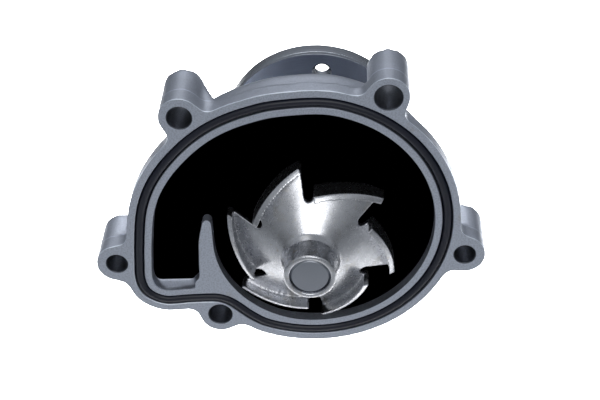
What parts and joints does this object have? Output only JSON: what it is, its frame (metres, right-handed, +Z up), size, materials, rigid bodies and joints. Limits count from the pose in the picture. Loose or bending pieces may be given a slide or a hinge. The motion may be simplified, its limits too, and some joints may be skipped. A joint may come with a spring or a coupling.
{
  "type": "automotive coolant pump",
  "caption": "Cast housing with a volute and bolt bosses, a pressed bladed impeller, face seal and ball-and-roller bearing shaft, and a turned pulley flange.",
  "frame": {"origin": "where the shaft axis meets the housing's sealing face", "axes": "+Y along the shaft from the engine to the pulley, +Z up, +X to the right when seen from the engine"},
  "size_m": [0.1181, 0.0889, 0.0928],
  "materials": {
    "cast_aluminium": "as-cast, satin, with machined faces",
    "seal_rubber": "moulded black rubber",
    "pressed_steel": "bright pressed stainless steel with light heat stains",
    "ground_steel": "ground",
    "turned_steel": "turned, lightly oiled",
    "bearing_steel": "polished",
    "spring_steel": "drawn wire",
    "cage_plastic": "moulded, matt",
    "carbon": "lapped carbon, matt",
    "ceramic": "lapped ceramic"
  },
  "bodies": {
    "housing": {"pump_housing": "cast_aluminium", "housing_seal": "seal_rubber", "bearing_outer_ring": "bearing_steel", "bearing_seal_front": "seal_rubber", "bearing_seal_rear": "seal_rubber", "face_seal_cup": "pressed_steel", "face_seal_bellows": "seal_rubber", "face_seal_spring": "spring_steel"},
    "rotor": {"pump_shaft": "ground_steel", "impeller": "pressed_steel", "pulley_flange": "turned_steel", "mating_ring": "ceramic", "mating_ring_boot": "seal_rubber"},
    "ball_set": {"ball_cage": "cage_plastic", "bearing_ball_1": "bearing_steel", "bearing_ball_2": "bearing_steel", "bearing_ball_3": "bearing_steel", "bearing_ball_4": "bearing_steel", "bearing_ball_5": "bearing_steel", "bearing_ball_6": "bearing_steel", "bearing_ball_7": "bearing_steel", "bearing_ball_8": "bearing_steel"},
    "roller_set": {"roller_cage": "cage_plastic", "bearing_roller_1": "bearing_steel", "bearing_roller_2": "bearing_steel", "bearing_roller_3": "bearing_steel", "bearing_roller_4": "bearing_steel", "bearing_roller_5": "bearing_steel", "bearing_roller_6": "bearing_steel", "bearing_roller_7": "bearing_steel", "bearing_roller_8": "bearing_steel", "bearing_roller_9": "bearing_steel", "bearing_roller_10": "bearing_steel", "bearing_roller_11": "bearing_steel", "bearing_roller_12": "bearing_steel"},
    "carbon_ring": {"face_seal_ring": "carbon"}
  },
  "joints": [
    {"name": "rotor_spin", "type": "hinge", "parent": "housing", "child": "rotor", "pos_m": [0, 0, 0], "axis": [0, 1, 0], "continuous": true},
    {"name": "ball_set_orbit", "type": "hinge", "parent": "housing", "child": "ball_set", "pos_m": [0, 0.0366, 0], "axis": [0, 1, 0], "continuous": true},
    {"name": "roller_set_orbit", "type": "hinge", "parent": "housing", "child": "roller_set", "pos_m": [0, 0.0484, 0], "axis": [0, 1, 0], "continuous": true},
    {"name": "seal_ring_float", "type": "slide", "parent": "housing", "child": "carbon_ring", "axis": [0, 1, 0], "range_m": [0, 0.0008], "stiffness_N_per_m": 2000, "springref_m": -0.001, "deforming": ["face_seal_spring", "face_seal_bellows"]}
  ],
  "couplings": [
    {"joint": "ball_set_orbit", "follows": "rotor_spin", "ratio": 0.36},
    {"joint": "roller_set_orbit", "follows": "rotor_spin", "ratio": 0.4025}
  ]
}
